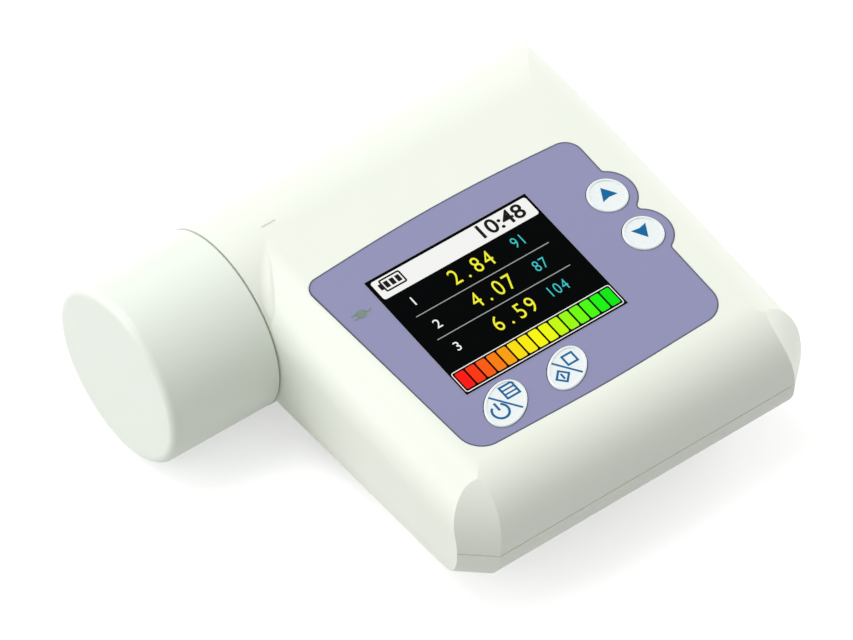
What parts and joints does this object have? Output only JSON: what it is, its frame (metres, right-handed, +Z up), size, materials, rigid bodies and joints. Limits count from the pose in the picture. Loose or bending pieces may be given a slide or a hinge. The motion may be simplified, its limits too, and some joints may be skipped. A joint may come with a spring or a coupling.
{
  "type": "spirometer",
  "caption": "Handheld turbine spirometer: a sloping wedge housing with colour display and keys, a round barrel across its back and a pull-off mouthpiece cap.",
  "frame": {"origin": "on the resting face under the housing, midway across the width of the housing and the overall depth", "axes": "+X to the right, away from the capped mouthpiece; +Y to the back, to the barrel; +Z up"},
  "size_m": [0.0971, 0.087, 0.0346],
  "materials": {
    "shell_plastic": "satin",
    "cap_plastic": "satin",
    "key_plastic": "satin",
    "overlay_film": "fine satin film",
    "clear_window": "clear",
    "display_glass": "gloss",
    "foam": "foam",
    "flex_film": "film",
    "board": "solder resist",
    "chip": "moulded",
    "steel": "plated",
    "lamp": "lens",
    "clear_plastic": "clear",
    "battery_wrap": "shrink film",
    "dark_plastic": "moulded",
    "turbine_plastic": "moulded",
    "rubber_ring": "smooth",
    "bearing_brass": "turned",
    "vane_plastic": "satin"
  },
  "bodies": {
    "housing": {"upper_shell": "shell_plastic", "lower_shell": "shell_plastic", "front_overlay": "overlay_film", "display_window": "clear_window", "display_gasket": "foam", "display_module": "display_glass", "display_flex": "flex_film", "main_board": "board", "board_chips": "chip", "board_screws": "steel", "switch_bodies": "chip", "sounder": "chip", "usb_socket": "steel", "charge_led": "lamp", "light_pipe": "clear_plastic", "case_screws": "steel", "battery_pad": "foam", "battery_pack": "battery_wrap", "sensor_board": "board", "ir_emitters": "clear_plastic", "ir_detectors": "dark_plastic", "sensor_sleeve": "dark_plastic", "outlet_ring": "shell_plastic"},
    "cartridge": {"flow_tube": "turbine_plastic", "seat_oring": "rubber_ring", "neck_oring": "rubber_ring", "inlet_stator": "turbine_plastic", "outlet_stator": "turbine_plastic", "inlet_bearing": "bearing_brass", "outlet_bearing": "bearing_brass"},
    "rotor": {"rotor_vane": "vane_plastic", "rotor_axle": "steel"},
    "cap": {"mouth_cap": "cap_plastic"},
    "key_up": {"key_up": "key_plastic", "plunger_up": "dark_plastic"},
    "key_down": {"key_down": "key_plastic", "plunger_down": "dark_plastic"},
    "key_menu": {"key_menu": "key_plastic", "plunger_menu": "dark_plastic"},
    "key_start": {"key_start": "key_plastic", "plunger_start": "dark_plastic"}
  },
  "joints": [
    {"name": "turbine_pull", "type": "slide", "parent": "housing", "child": "cartridge", "axis": [-1, 0, 0], "range_m": [0, 0.058]},
    {"name": "cap_pull", "type": "slide", "parent": "cartridge", "child": "cap", "axis": [-1, 0, 0], "range_m": [0, 0.024]},
    {"name": "rotor_spin", "type": "hinge", "parent": "cartridge", "child": "rotor", "pos_m": [-0.007, 0.02655, 0.0176], "axis": [1, 0, 0], "continuous": true},
    {"name": "key_up_press", "type": "slide", "parent": "housing", "child": "key_up", "axis": [0, 0.0917, -0.9958], "range_m": [0, 0.0003], "stiffness_N_per_m": 2000},
    {"name": "key_down_press", "type": "slide", "parent": "housing", "child": "key_down", "axis": [0, 0.0917, -0.9958], "range_m": [0, 0.0003], "stiffness_N_per_m": 2000},
    {"name": "key_menu_press", "type": "slide", "parent": "housing", "child": "key_menu", "axis": [0, 0.0917, -0.9958], "range_m": [0, 0.0003], "stiffness_N_per_m": 2000},
    {"name": "key_start_press", "type": "slide", "parent": "housing", "child": "key_start", "axis": [0, 0.0917, -0.9958], "range_m": [0, 0.0003], "stiffness_N_per_m": 2000}
  ]
}
